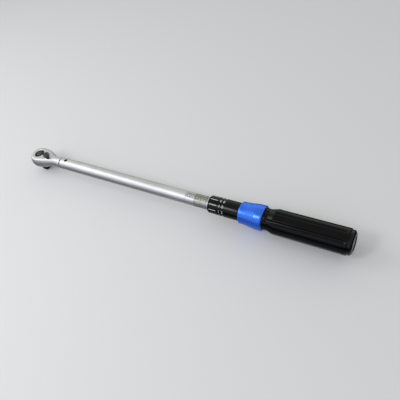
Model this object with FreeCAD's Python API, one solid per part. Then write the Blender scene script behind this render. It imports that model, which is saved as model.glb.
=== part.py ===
"""Click-type torque wrench with a 12.7 mm square drive.

Frame: X runs along the tube from the head to the handle, Z is the drive axis (the reversing lever is on
top and the square points down). The origin is on the drive axis, at the head's drive-side face.
All lengths are in millimetres.
"""
import FreeCAD, Part
import math
import os

from FreeCAD import Vector

# ---------------------------------------------------------------- driving dimensions
DRIVE_SQUARE = 12.7          # half-inch square
TUBE_R = 10.0                # tube, outside
TUBE_WALL = 2.0
HEAD_R = 18.5                # head, largest radius
HEAD_THICK = 20.0            # face to face
COLLAR_X = 47.6              # collar behind the head's neck
COLLAR_END_X = 54.2
TUBE_START_X = 55.8          # front end of the tube
TUBE_END_X = 511.0           # rear end, hidden in the handle
ETCHED_LINE_X = 323.7        # ring line in front of the scale
THIMBLE_X = 365.6            # front edge of the scale thimble at its lowest setting
RING_X = 417.0               # lock ring, front edge
RING_LENGTH = 36.6
GRIP_X = RING_X + RING_LENGTH + 1.2
GRIP_END_X = 571.5
CAP_LENGTH = 6.5
GRIP_R = 18.6

PITCH = 4.4                  # handle travel in one turn, two-start thread
LOCK_TRAVEL = 5.0            # lock ring, pulled towards the grip
BUTTON_STROKE = 2.8
RUN = 0.05                   # radial clearance of a running fit
GAP = 0.3                    # clearance between parts that only pass each other

AXIS_Z = HEAD_THICK / 2      # height of the tube's axis
BORE_R = TUBE_R - TUBE_WALL
X_DIR = Vector(1, 0, 0)
Y_DIR = Vector(0, 1, 0)
Z_DIR = Vector(0, 0, 1)

# ---------------------------------------------------------------- ratchet
GEAR_TEETH = 36
GEAR_TIP_R = 12.0
GEAR_ROOT_R = 10.9
GEAR_Z0 = 3.2
GEAR_Z1 = 12.4
JOURNAL_R = 9.0              # both journals of the gear
COVER_R = 13.4
FACE_RECESS = 0.8            # gear's back below the head's top face
SQUARE_LENGTH = 15.5
SQUARE_CORNER = 1.3
BUTTON_R = 5.0
BUTTON_BORE_Z = 13.5         # floor of the button's bore
BUTTON_FLANGE_Z = 17.7       # underside of the button
STEM_R = 2.45
STEM_NECK_R = 1.3
STEM_BORE_Z = -12.0
BALL_R = 2.4
BALL_Z = -8.0
BALL_OUT = 4.95              # ball centre from the drive axis when it is out
BALL_TRAVEL = 1.1
PAWL_X = 17.5                # axis of the lever and the pawl
PAWL_SWING = 12.0            # degrees each side of the middle
LEVER_SWING = 30.0
LEVER_SHAFT_R = 3.5
PAWL_R = 12.2
PAWL_FRONT_R = 17.0          # hollow front of the pawl
PAWL_FRONT_X = 12.4
PAWL_BACK_X = 22.0
LEVER_Z = HEAD_THICK + 0.25  # underside of the lever's plate
LEVER_THICK = 2.0
LEVER_REACH = 12.4           # lever's axis to its knob
KNOB_STEM_R = 1.6
DETENT_Z = 8.0               # detent that holds the lever at either side
DETENT_HOLE_R = 1.15

# ---------------------------------------------------------------- click mechanism
PIN_X = TUBE_START_X + 12.0
PIN_R = 3.2
PIN_RECESS = 1.1             # pin's ends below the tube's surface
TAIL_END_X = PIN_X + 88.0
TAIL_ROOT_R = 8.2            # tail where it leaves the collar
TAIL_END_R = 5.4
BLOCK = 8.0                  # side of the tilting block
BLOCK_GAP = 0.15
PLUNGER_X = TAIL_END_X + BLOCK + 2 * BLOCK_GAP
PLUNGER_LENGTH = 30.0
SPRING_X0 = PLUNGER_X + PLUNGER_LENGTH
SPRING_LENGTH = 180.0
SPRING_WIRE = 4.0
SPRING_MEAN_R = 5.7
SPRING_TURNS = 24
SEAT_X = SPRING_X0 + SPRING_LENGTH
SEAT_LENGTH = 12.0
THRUST_BALL_R = 3.0
THRUST_BALL_X = SEAT_X + SEAT_LENGTH + 1.0

# ---------------------------------------------------------------- handle
SCREW_R = 5.0                # adjusting screw
SCREW_SHAFT_R = 4.0          # its plain end in the plug
SCREW_FLAT = 3.3             # flat that keys it, from the axis
NUT_LENGTH = 24.0
NUT_SCREW_X = TUBE_END_X - NUT_LENGTH / 2
SCREW_SHANK_R = 1.6          # the two screws that hold the nut
SCREW_HEAD_R = 2.0
THIMBLE_R = 13.5
THIMBLE_END_X = 424.0
SLEEVE_X = 404.0
SLEEVE_END_X = 566.0
PLUG_X = 556.0
SLEEVE_R = 12.6
SLEEVE_BORE_R = TUBE_R + 0.4
LOCK_BALLS = 3
LOCK_BALL_R = 2.2
LOCK_BALL_X = 436.0
LOCK_BALL_AXIS_R = TUBE_R + RUN + LOCK_BALL_R
LOCK_RAMP = 0.16             # radial ball travel per millimetre of ring travel
LOCK_SPRING_X = LOCK_BALL_X + 7.3
GRIP_FLUTES = 8
FLUTE_PHASE = 43.5           # degrees from the top to the first flute


def axis_point(x, z=AXIS_Z, y=0.0):
    return Vector(x, y, z)


def rod(x0, x1, radius):
    """Cylinder on the tube's axis."""
    return Part.makeCylinder(radius, x1 - x0, axis_point(x0), X_DIR)


def pipe(x0, x1, outer, inner):
    return rod(x0, x1, outer).cut(rod(x0 - 1, x1 + 1, inner))


def post(x, z0, z1, radius, y=0.0):
    """Upright cylinder."""
    return Part.makeCylinder(radius, z1 - z0, Vector(x, y, z0), Z_DIR)


def turned(points):
    """Solid turned about the tube's axis from (x, radius) points; a third value bulges the edge before it."""
    edges = []
    last = None
    first = None
    for point in points:
        here = Vector(point[0], 0, AXIS_Z + point[1])
        if last is not None:
            if len(point) == 3:
                middle = (last + here) * 0.5
                across = (here - last).cross(Y_DIR)
                across.normalize()
                edges.append(Part.Arc(last, middle + across * point[2], here).toShape())
            else:
                edges.append(Part.LineSegment(last, here).toShape())
        else:
            first = here
        last = here
    edges.append(Part.LineSegment(last, first).toShape())
    face = Part.Face(Part.Wire(edges))
    return face.revolve(axis_point(0), X_DIR, 360)


def turned_z(points, x=0.0, y=0.0):
    """Solid turned about an upright axis from (z, radius) points."""
    corners = [Vector(x + radius, y, z) for z, radius in points]
    face = Part.Face(Part.makePolygon(corners + [corners[0]]))
    return face.revolve(Vector(x, y, 0), Z_DIR, 360)


def coil(mean_r, wire, length, turns):
    """Coil spring along +Z from the origin, with its ends inside the length."""
    rise = length - wire
    helix = Part.makeHelix(rise / turns, rise, mean_r)
    profile = Part.Wire(Part.makeCircle(wire / 2, Vector(mean_r, 0, 0), Y_DIR))
    spring = Part.Wire(helix.Edges).makePipeShell([profile], True, True)
    spring.translate(Vector(0, 0, wire / 2))
    return spring


def lay_along_x(shape, x):
    """Turn a shape made along +Z to lie along the tube's axis from x."""
    shape.rotate(Vector(0, 0, 0), Y_DIR, 90)
    shape.translate(axis_point(x))
    return shape


def place_about_axis(shape, angle):
    shape = shape.copy()
    shape.rotate(axis_point(0), X_DIR, angle)
    return shape


# ---------------------------------------------------------------- head
def head_envelope():
    """Pear-shaped body, round in section, before its top and bottom are cut flat."""
    shoulder_x = 17.0
    shoulder_r = 16.1
    waist_x = 27.5
    waist_r = 11.7
    neck_x = 38.0
    neck_r = 8.8
    return turned([
        (-HEAD_R, 0),
        (0, HEAD_R, HEAD_R * (1 - math.sqrt(0.5))),
        (shoulder_x, shoulder_r, 0.6),
        (waist_x, waist_r, 0.25),
        (neck_x, neck_r, -0.6),
        (COLLAR_X - 1.2, neck_r),
        (COLLAR_X, TUBE_R - 0.2, 0.25),
        (COLLAR_END_X - 0.6, TUBE_R),
        (COLLAR_END_X, TUBE_R - 0.6, 0.1),
        (COLLAR_END_X, 0),
    ])


def tail():
    """Lever tail that runs down the tube to the tilting block."""
    tail_r = BORE_R - 0.5
    root_x = COLLAR_END_X - 0.6
    return turned([
        (root_x, 0),
        (root_x, TAIL_ROOT_R),
        (TUBE_START_X - 0.7, TAIL_ROOT_R),
        (TUBE_START_X - 0.2, tail_r),
        (PIN_X + 8, tail_r),
        (TAIL_END_X - 6, TAIL_END_R),
        (TAIL_END_X, TAIL_END_R - 0.4),
        (TAIL_END_X, 0),
    ])


def ratchet_head():
    flat = Part.makeBox(120, 60, HEAD_THICK, Vector(-30, -30, 0))
    body = head_envelope().common(flat)
    body = body.fuse(tail()).removeSplitter()
    # gear chamber, opened from below, with the ledge of the cover and the groove of the retaining ring
    body = body.cut(post(0, GEAR_Z0 - 0.2, GEAR_Z1 + 0.2, GEAR_TIP_R + 0.4))
    body = body.cut(post(0, -1, GEAR_Z0, COVER_R))
    body = body.cut(post(0, 0.5, 1.5, COVER_R + 0.7))
    body = body.cut(post(0, 0, HEAD_THICK + 1, JOURNAL_R + RUN))
    # pawl pocket
    pocket = post(PAWL_X, GEAR_Z0 - 0.2, GEAR_Z1 + 0.2, PAWL_R + 0.3)
    pocket = pocket.common(Part.makeBox(40, 40, 30, Vector(-15.2, -20, 0)))
    body = body.cut(pocket)
    # bore of the lever's shaft
    body = body.cut(post(PAWL_X, 1.4, HEAD_THICK + 1, LEVER_SHAFT_R + RUN))
    # bore of the cross pin
    body = body.cut(post(PIN_X, -5, HEAD_THICK + 5, PIN_R + RUN))
    return body


def cover_plate():
    plate = post(0, 1.5, GEAR_Z0 - 0.2, COVER_R)
    return plate.cut(post(0, 0, 5, JOURNAL_R + RUN))


def retaining_ring():
    ring = post(0, 0.55, 1.45, COVER_R + 0.6).cut(post(0, 0, 5, COVER_R - 1.6))
    slot = Part.makeBox(10, 5, 5, Vector(-18, -2.5, -1))
    return ring.cut(slot)


def neck_seal():
    """Rubber ring in the groove between the collar and the tube."""
    section_r = 0.42
    seal_x = COLLAR_END_X + section_r + 0.03
    seal = Part.makeTorus(TAIL_ROOT_R + section_r - 0.02, section_r, axis_point(seal_x), X_DIR)
    return seal.cut(rod(seal_x - 2, seal_x + 2, TAIL_ROOT_R))


# ---------------------------------------------------------------- drive
def toothed_disc(extra, z0, z1):
    """Ratchet wheel; extra grows its outline all round."""
    points = []
    step = 2 * math.pi / GEAR_TEETH
    corners = ((-0.42, GEAR_ROOT_R), (-0.08, GEAR_TIP_R), (0.08, GEAR_TIP_R), (0.42, GEAR_ROOT_R))
    for tooth in range(GEAR_TEETH):
        for turn, radius in corners:
            angle = (tooth + turn) * step
            points.append(Vector((radius + extra) * math.cos(angle), (radius + extra) * math.sin(angle), z0))
    face = Part.Face(Part.makePolygon(points + [points[0]]))
    return face.extrude(Vector(0, 0, z1 - z0))


def square_bar(z0, z1):
    half = DRIVE_SQUARE / 2
    bar = Part.makeBox(DRIVE_SQUARE, DRIVE_SQUARE, z1 - z0, Vector(-half, -half, z0))
    upright = [e for e in bar.Edges if e.BoundBox.ZLength > 1]
    bar = bar.makeFillet(SQUARE_CORNER, upright)
    tip = [e for e in bar.Edges if abs(e.BoundBox.ZMax - z0) < 0.01]
    return bar.makeChamfer(1.0, tip)


def drive_gear():
    gear = toothed_disc(0, GEAR_Z0, GEAR_Z1)
    gear = gear.fuse(post(0, GEAR_Z1, HEAD_THICK - FACE_RECESS, JOURNAL_R))
    gear = gear.fuse(post(0, 0.4, GEAR_Z0, JOURNAL_R))
    gear = gear.fuse(square_bar(-SQUARE_LENGTH, 0.4)).removeSplitter()
    gear = gear.cut(post(0, BUTTON_BORE_Z, HEAD_THICK, BUTTON_R + RUN))
    gear = gear.cut(post(0, STEM_BORE_Z, BUTTON_BORE_Z + 1, STEM_R + RUN))
    ball_hole = Part.makeCylinder(BALL_R + RUN, DRIVE_SQUARE, Vector(0, 0, BALL_Z), Vector(0, -1, 0))
    gear = gear.cut(ball_hole)
    # shallow ring of dimples round the button, for grip when the gear is turned by finger
    dimple_ring_r = 7.1
    back_z = HEAD_THICK - FACE_RECESS
    for number in range(12):
        angle = math.radians(30 * number)
        centre = Vector(dimple_ring_r * math.cos(angle), dimple_ring_r * math.sin(angle), back_z)
        gear = gear.cut(Part.makeSphere(0.8, centre + Vector(0, 0, 0.3)))
    return gear


def release_button():
    """Button and stem; the stem's cone lets the ball move in as the button goes down."""
    slope = BALL_TRAVEL / BUTTON_STROKE
    cone_z = BALL_Z - 0.5
    neck_z = cone_z + (STEM_R - STEM_NECK_R) / slope
    stem_end_z = BALL_Z - 0.9
    top = HEAD_THICK + 0.6
    return turned_z([
        (stem_end_z, 0),
        (stem_end_z, STEM_R),
        (cone_z, STEM_R),
        (neck_z, STEM_NECK_R),
        (BUTTON_FLANGE_Z, STEM_NECK_R),
        (BUTTON_FLANGE_Z, BUTTON_R),
        (top - 0.8, BUTTON_R),
        (top, BUTTON_R - 0.8),
        (top, 0),
    ])


def release_spring():
    end_gap = 0.05
    spring = coil(3.4, 0.5, BUTTON_FLANGE_Z - BUTTON_BORE_Z - 2 * end_gap, 3)
    spring.translate(Vector(0, 0, BUTTON_BORE_Z + end_gap))
    return spring


def detent_ball():
    return Part.makeSphere(BALL_R, Vector(0, -BALL_OUT, BALL_Z))


# ---------------------------------------------------------------- direction lever and pawl
def about_lever(shape, angle):
    shape.rotate(Vector(PAWL_X, 0, 0), Z_DIR, angle)
    return shape


def reversing_lever():
    """Teardrop lever with its shaft, resting turned to one side."""
    boss_r = 5.6
    tip_r = 2.6
    tip_x = PAWL_X + LEVER_REACH
    spread = math.acos((boss_r - tip_r) / LEVER_REACH)
    cos_a = math.cos(spread)
    sin_a = math.sin(spread)
    a = Vector(PAWL_X + boss_r * cos_a, boss_r * sin_a, LEVER_Z)
    b = Vector(tip_x + tip_r * cos_a, tip_r * sin_a, LEVER_Z)
    c = Vector(b.x, -b.y, LEVER_Z)
    d = Vector(a.x, -a.y, LEVER_Z)
    outline = Part.Wire([
        Part.LineSegment(a, b).toShape(),
        Part.Arc(b, Vector(tip_x + tip_r, 0, LEVER_Z), c).toShape(),
        Part.LineSegment(c, d).toShape(),
        Part.Arc(d, Vector(PAWL_X - boss_r, 0, LEVER_Z), a).toShape(),
    ])
    plate = Part.Face(outline).extrude(Vector(0, 0, LEVER_THICK))
    top_edges = [e for e in plate.Edges if e.BoundBox.ZMin > LEVER_Z + LEVER_THICK - 0.01]
    plate = plate.makeFillet(0.7, top_edges)
    lever = plate.fuse(post(PAWL_X, 1.5, LEVER_Z + 0.5, LEVER_SHAFT_R))
    lever = lever.cut(Part.makeCylinder(DETENT_HOLE_R, 10, Vector(PAWL_X - 1.6, 0, DETENT_Z), X_DIR))
    lever = lever.cut(post(tip_x, LEVER_Z + 0.8, LEVER_Z + 5, KNOB_STEM_R))
    return about_lever(lever, -LEVER_SWING)


def lever_knob():
    """Thumb knob pressed into the lever's tip."""
    knob_r = 2.5
    plate_top = LEVER_Z + LEVER_THICK
    knob = turned_z([
        (LEVER_Z + 0.8, 0),
        (LEVER_Z + 0.8, KNOB_STEM_R),
        (plate_top, KNOB_STEM_R),
        (plate_top, knob_r),
        (plate_top + 0.7, knob_r),
        (plate_top + 1.3, knob_r - 0.5),
        (plate_top + 1.5, knob_r - 1.3),
        (plate_top + 1.5, 0),
    ], x=PAWL_X + LEVER_REACH)
    return about_lever(knob, -LEVER_SWING)


def detent_plunger():
    plunger_r = DETENT_HOLE_R - RUN
    shank = Part.makeCylinder(plunger_r, 1.7, Vector(PAWL_X + 1.8, 0, DETENT_Z), X_DIR)
    nose = Part.makeSphere(plunger_r, Vector(PAWL_X + 3.5, 0, DETENT_Z))
    return about_lever(shank.fuse(nose).removeSplitter(), -LEVER_SWING)


def detent_spring():
    spring = coil(0.7, 0.35, 3.2, 5)
    spring.rotate(Vector(0, 0, 0), Y_DIR, 90)
    spring.translate(Vector(PAWL_X - 1.5, 0, DETENT_Z))
    return about_lever(spring, -LEVER_SWING)


def pawl():
    """Two-ended pawl; one end is in mesh at rest, and its other end is the mirror image."""
    z0 = GEAR_Z0 + 0.1
    z1 = GEAR_Z1 - 0.1
    blank = post(PAWL_X, z0, z1, PAWL_R)
    blank = blank.cut(post(PAWL_FRONT_X - PAWL_FRONT_R, z0 - 1, z1 + 1, PAWL_FRONT_R))
    blank = blank.common(Part.makeBox(40, 40, 30, Vector(PAWL_BACK_X - 40, -20, 0)))
    # clear the gear's teeth at both ends of the swing and all the way between them
    step = 2.0
    stops = int(PAWL_SWING / step)
    for stop in range(-stops, stops + 1):
        clearance = 0.12 if abs(stop) == stops else 0.06
        cutter = toothed_disc(clearance, z0 - 1, z1 + 1)
        blank = blank.cut(about_lever(cutter, stop * step))
    blank = blank.cut(post(PAWL_X, 0, HEAD_THICK, LEVER_SHAFT_R + RUN))
    blank = blank.cut(post(PAWL_X, DETENT_Z - 1.6, DETENT_Z + 1.6, LEVER_SHAFT_R + 1.4))
    return about_lever(blank, PAWL_SWING)


# ---------------------------------------------------------------- tube and click mechanism
def main_tube():
    tube = pipe(TUBE_START_X, TUBE_END_X, TUBE_R, BORE_R)
    ends = [e for e in tube.Edges if abs(e.BoundBox.XMin - TUBE_START_X) < 0.01 and e.BoundBox.XLength < 0.01]
    tube = tube.makeChamfer(0.4, ends)
    tube = tube.cut(post(PIN_X, -5, HEAD_THICK + 5, PIN_R))
    tube = tube.cut(pipe(ETCHED_LINE_X, ETCHED_LINE_X + 0.8, TUBE_R + 1, TUBE_R - 0.2))
    # shallow lock grooves under the handle
    grooves = 12
    for number in range(grooves):
        groove = Part.makeCylinder(1.6, 92, axis_point(386.0, AXIS_Z + TUBE_R + 1.2), X_DIR)
        tube = tube.cut(place_about_axis(groove, 360.0 / grooves * (number + 0.5)))
    for side in (1, -1):
        tube = tube.cut(Part.makeCylinder(SCREW_HEAD_R, 20, axis_point(NUT_SCREW_X), Y_DIR * side))
    return tube


def pivot_pin():
    half = TUBE_R - PIN_RECESS
    pin = post(PIN_X, AXIS_Z - half, AXIS_Z + half, PIN_R)
    ends = [e for e in pin.Edges if e.BoundBox.ZLength < 0.01]
    return pin.makeChamfer(0.5, ends)


def tilt_block():
    x0 = TAIL_END_X + BLOCK_GAP
    block_height = 8.4
    block = Part.makeBox(BLOCK, BLOCK, block_height, Vector(x0, -BLOCK / 2, AXIS_Z - block_height / 2))
    return block.makeChamfer(0.3, block.Edges)


def spring_plunger():
    x0 = PLUNGER_X
    x1 = x0 + PLUNGER_LENGTH
    body_r = BORE_R - RUN
    return turned([
        (x0, 0),
        (x0, body_r - 0.6),
        (x0 + 0.6, body_r),
        (x0 + 9, body_r),
        (x0 + 9, body_r - 0.5),
        (x1 - 9, body_r - 0.5),
        (x1 - 9, body_r),
        (x1, body_r),
        (x1, 0),
    ])


def main_spring():
    spring = coil(SPRING_MEAN_R, SPRING_WIRE, SPRING_LENGTH - 0.2, SPRING_TURNS)
    return lay_along_x(spring, SPRING_X0 + 0.1)


def spring_seat():
    seat = rod(SEAT_X, SEAT_X + SEAT_LENGTH, BORE_R - RUN)
    seat = seat.makeChamfer(0.6, seat.Edges[:1])
    return seat.cut(Part.makeSphere(THRUST_BALL_R, axis_point(THRUST_BALL_X)))


def thrust_ball():
    return Part.makeSphere(THRUST_BALL_R, axis_point(THRUST_BALL_X))


def adjuster_nut():
    nut = rod(TUBE_END_X - NUT_LENGTH, TUBE_END_X, BORE_R).fuse(rod(TUBE_END_X, TUBE_END_X + 3, TUBE_R - 0.2))
    nut = nut.removeSplitter().cut(rod(TUBE_END_X - 60, TUBE_END_X + 60, SCREW_R + RUN))
    for side in (1, -1):
        nut = nut.cut(Part.makeCylinder(SCREW_SHANK_R, 20, axis_point(NUT_SCREW_X), Y_DIR * side))
    return nut


def nut_screws():
    """Two headless screws that hold the nut in the tube."""
    screws = []
    shank_start = SCREW_R + 0.8
    slot_width = 0.6
    for side in (1, -1):
        start = axis_point(NUT_SCREW_X, y=side * shank_start)
        screw = Part.makeCylinder(SCREW_SHANK_R, BORE_R - shank_start, start, Y_DIR * side)
        head_start = axis_point(NUT_SCREW_X, y=side * BORE_R)
        screw = screw.fuse(Part.makeCylinder(SCREW_HEAD_R, 1.6, head_start, Y_DIR * side))
        slot = Part.makeBox(slot_width, 1.2, 3.4, Vector(NUT_SCREW_X - slot_width / 2, -0.6, AXIS_Z - 1.7))
        slot.translate(Vector(0, side * (BORE_R + 1.5), 0))
        screws.append(screw.removeSplitter().cut(slot))
    return Part.makeCompound(screws)


# ---------------------------------------------------------------- handle
def adjusting_screw():
    """Screw that the handle turns; its ridges stand for the thread."""
    x0 = THRUST_BALL_X + 1.0
    thread_x0 = TUBE_END_X - 30
    thread_x1 = PLUG_X - 2
    points = [(x0, 0), (x0, SCREW_R - 0.6), (x0 + 0.6, SCREW_R - 0.3), (thread_x0 - 1, SCREW_R - 0.3)]
    ridge = PITCH / 2
    ridges = int((thread_x1 - thread_x0) / ridge)
    for number in range(ridges):
        x = thread_x0 + number * ridge
        points += [(x, SCREW_R - 0.8), (x + 0.7, SCREW_R), (x + 1.3, SCREW_R), (x + 2.0, SCREW_R - 0.8)]
    end_x = GRIP_END_X - 1.2
    points += [(thread_x1, SCREW_R - 0.4), (PLUG_X, SCREW_R - 0.4), (PLUG_X, SCREW_SHAFT_R),
               (end_x, SCREW_SHAFT_R), (end_x, 0)]
    screw = turned(points)
    screw = screw.cut(Part.makeSphere(THRUST_BALL_R, axis_point(THRUST_BALL_X)))
    flat = Part.makeBox(SLEEVE_END_X - PLUG_X, 20, 20, Vector(PLUG_X, -10, AXIS_Z + SCREW_FLAT))
    return screw.cut(flat)


def end_plug():
    """Disc that joins the screw to the handle sleeve; the flat keys the screw."""
    plug = rod(PLUG_X, SLEEVE_END_X, SLEEVE_BORE_R)
    hole = rod(PLUG_X - 1, SLEEVE_END_X + 1, SCREW_SHAFT_R)
    keep = Part.makeBox(40, 20, 20, Vector(PLUG_X - 10, -10, AXIS_Z + SCREW_FLAT))
    return plug.cut(hole.cut(keep))


def plug_nut():
    across_flats = 13.0
    corner_r = across_flats / math.sqrt(3)
    corners = []
    for number in range(7):
        angle = math.radians(60 * number)
        corner_z = AXIS_Z + corner_r * math.sin(angle)
        corners.append(axis_point(SLEEVE_END_X, corner_z, corner_r * math.cos(angle)))
    nut = Part.Face(Part.makePolygon(corners)).extrude(Vector(4.0, 0, 0))
    return nut.cut(rod(SLEEVE_END_X - 1, SLEEVE_END_X + 9, SCREW_SHAFT_R))


def handle_sleeve():
    sleeve = pipe(SLEEVE_X, SLEEVE_END_X, SLEEVE_R, SLEEVE_BORE_R)
    for number in range(LOCK_BALLS):
        hole = Part.makeCylinder(LOCK_BALL_R + RUN, 20, axis_point(LOCK_BALL_X), Z_DIR)
        sleeve = sleeve.cut(place_about_axis(hole, 360.0 / LOCK_BALLS * number))
    return sleeve


def guide_bush():
    """Bearing of the handle on the tube."""
    return pipe(SLEEVE_X + 2, SLEEVE_X + 20, SLEEVE_BORE_R, TUBE_R + RUN)


def scale_thimble():
    thimble = turned([
        (THIMBLE_X, TUBE_R + GAP),
        (THIMBLE_X, THIMBLE_R - 1.0),
        (THIMBLE_X + 0.3, THIMBLE_R - 0.5, 0.1),
        (THIMBLE_X + 1.8, THIMBLE_R, 0.12),
        (RING_X - 0.3, THIMBLE_R),
        (RING_X - 0.3, THIMBLE_R - 0.3),
        (THIMBLE_END_X, THIMBLE_R - 0.3),
        (THIMBLE_END_X, SLEEVE_R),
        (SLEEVE_X, SLEEVE_R),
        (SLEEVE_X, TUBE_R + GAP),
    ])
    return thimble


def lock_ring_ramp_r(x):
    return LOCK_BALL_AXIS_R + LOCK_BALL_R + 0.1 + LOCK_RAMP * (LOCK_BALL_X - x)


def lock_ring():
    """Sliding ring that flares towards the grip; a ramp inside it works the lock balls."""
    x0 = RING_X
    x1 = RING_X + RING_LENGTH
    bore_r = THIMBLE_R - 0.05
    ramp_x0 = LOCK_BALL_X - LOCK_TRAVEL - 2.6
    pocket_x = LOCK_SPRING_X - 0.1
    pocket_r = 16.2
    return turned([
        (x0, bore_r),
        (x0, 15.0),
        (x0 + 1.0, 16.0, 0.3),
        (x0 + 2.6, 16.3, 0.2),
        (x0 + 12.0, 16.9, -0.15),
        (x0 + 25.0, 18.5, -0.2),
        (x1 - 3.4, 18.5, 0.5),
        (x1 - 1.0, 17.8, 0.3),
        (x1, 16.8, 0.2),
        (x1, pocket_r),
        (pocket_x, pocket_r),
        (pocket_x, lock_ring_ramp_r(LOCK_BALL_X)),
        (LOCK_BALL_X, lock_ring_ramp_r(LOCK_BALL_X)),
        (ramp_x0, lock_ring_ramp_r(ramp_x0)),
        (ramp_x0, bore_r),
    ])


def lock_spring():
    spring = coil(13.9, 1.5, GRIP_X - LOCK_SPRING_X - 0.1, 3)
    return lay_along_x(spring, LOCK_SPRING_X)


def lock_ball(number):
    ball = Part.makeSphere(LOCK_BALL_R, axis_point(LOCK_BALL_X, AXIS_Z + LOCK_BALL_AXIS_R))
    return place_about_axis(ball, 360.0 / LOCK_BALLS * number)


def grip():
    """Fluted plastic grip moulded on the sleeve."""
    nose_r = 15.9
    x0 = GRIP_X
    x1 = GRIP_END_X
    body = turned([
        (x0, SLEEVE_R),
        (x0, nose_r - 0.4),
        (x0 + 0.4, nose_r),
        (x0 + 6.0, nose_r),
        (x0 + 16.0, GRIP_R, 0.5),
        (x1 - 1.6, GRIP_R),
        (x1, GRIP_R - 1.3, 0.4),
        (x1, SLEEVE_R),
    ])
    flute_r = 3.2
    flute_depth = 1.5
    flute_x0 = x0 + 11.0
    flute_x1 = x1 - 5.0
    centre_r = GRIP_R + flute_r - flute_depth
    for number in range(GRIP_FLUTES):
        start = axis_point(flute_x0, AXIS_Z + centre_r)
        cutter = Part.makeCylinder(flute_r, flute_x1 - flute_x0, start, X_DIR)
        for end_x in (flute_x0, flute_x1):
            cutter = cutter.fuse(Part.makeSphere(flute_r, axis_point(end_x, AXIS_Z + centre_r)))
        body = body.cut(place_about_axis(cutter, FLUTE_PHASE + 360.0 / GRIP_FLUTES * number))
    return body


def end_cap():
    x0 = GRIP_END_X
    x1 = x0 + CAP_LENGTH
    rim_r = 17.2
    return turned([
        (x0 - 4.0, SLEEVE_R - 1.8),
        (x0 - 4.0, SLEEVE_R),
        (x0, SLEEVE_R),
        (x0, rim_r),
        (x0 + 2.8, rim_r),
        (x1 - 0.9, rim_r - 1.8, 0.5),
        (x1, rim_r - 4.2, 0.25),
        (x1, 0),
        (x0 + 1.4, 0),
        (x0 + 1.4, SLEEVE_R - 1.8),
    ])


def main():
    os.makedirs("parts", exist_ok=True)
    parts = {
        "ratchet_head": ratchet_head(),
        "neck_seal": neck_seal(),
        "cover_plate": cover_plate(),
        "retaining_ring": retaining_ring(),
        "drive_gear": drive_gear(),
        "release_button": release_button(),
        "release_spring": release_spring(),
        "detent_ball": detent_ball(),
        "reversing_lever": reversing_lever(),
        "lever_knob": lever_knob(),
        "detent_plunger": detent_plunger(),
        "detent_spring": detent_spring(),
        "pawl": pawl(),
        "main_tube": main_tube(),
        "pivot_pin": pivot_pin(),
        "tilt_block": tilt_block(),
        "spring_plunger": spring_plunger(),
        "main_spring": main_spring(),
        "spring_seat": spring_seat(),
        "thrust_ball": thrust_ball(),
        "adjuster_nut": adjuster_nut(),
        "nut_screws": nut_screws(),
        "adjusting_screw": adjusting_screw(),
        "end_plug": end_plug(),
        "plug_nut": plug_nut(),
        "handle_sleeve": handle_sleeve(),
        "guide_bush": guide_bush(),
        "scale_thimble": scale_thimble(),
        "lock_ring": lock_ring(),
        "lock_spring": lock_spring(),
        "grip": grip(),
        "end_cap": end_cap(),
    }
    for number in range(LOCK_BALLS):
        parts["lock_ball_%d" % (number + 1)] = lock_ball(number)
    for name, shape in parts.items():
        shape.exportStep(os.path.join("parts", name + ".step"))
        facts = (name, len(shape.Solids), shape.isValid(), shape.Volume)
        print("%-16s solids %d valid %s volume %.0f mm3" % facts)


main()
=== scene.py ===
"""Looks of a click-type torque wrench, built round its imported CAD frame. Lengths are in metres."""
import math

import bmesh
import bpy
from mathutils import Matrix, Vector


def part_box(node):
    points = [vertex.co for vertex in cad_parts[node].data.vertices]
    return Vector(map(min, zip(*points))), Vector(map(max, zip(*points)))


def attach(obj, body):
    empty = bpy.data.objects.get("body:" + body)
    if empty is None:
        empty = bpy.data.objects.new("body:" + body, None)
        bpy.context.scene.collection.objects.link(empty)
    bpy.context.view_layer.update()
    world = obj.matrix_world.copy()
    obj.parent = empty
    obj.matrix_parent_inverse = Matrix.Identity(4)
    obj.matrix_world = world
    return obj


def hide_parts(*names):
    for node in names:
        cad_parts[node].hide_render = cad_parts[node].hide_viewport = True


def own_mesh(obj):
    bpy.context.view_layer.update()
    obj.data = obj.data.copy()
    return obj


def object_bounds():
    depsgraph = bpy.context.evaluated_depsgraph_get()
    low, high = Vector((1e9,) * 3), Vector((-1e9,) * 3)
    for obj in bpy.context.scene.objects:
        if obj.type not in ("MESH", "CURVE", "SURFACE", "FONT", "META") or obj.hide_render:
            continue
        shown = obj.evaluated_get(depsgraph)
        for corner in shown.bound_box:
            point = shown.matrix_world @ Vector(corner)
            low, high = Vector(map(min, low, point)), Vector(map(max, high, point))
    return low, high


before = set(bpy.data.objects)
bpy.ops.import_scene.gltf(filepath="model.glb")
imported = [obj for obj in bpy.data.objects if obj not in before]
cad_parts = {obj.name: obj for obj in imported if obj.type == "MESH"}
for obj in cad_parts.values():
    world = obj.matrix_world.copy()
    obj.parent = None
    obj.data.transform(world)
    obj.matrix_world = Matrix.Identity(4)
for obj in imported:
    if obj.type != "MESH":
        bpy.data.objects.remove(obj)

CAD_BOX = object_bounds()
MM = 0.001
TAU = 2 * math.pi
TINY = 1e-7                  # lengths under this count as nothing

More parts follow.
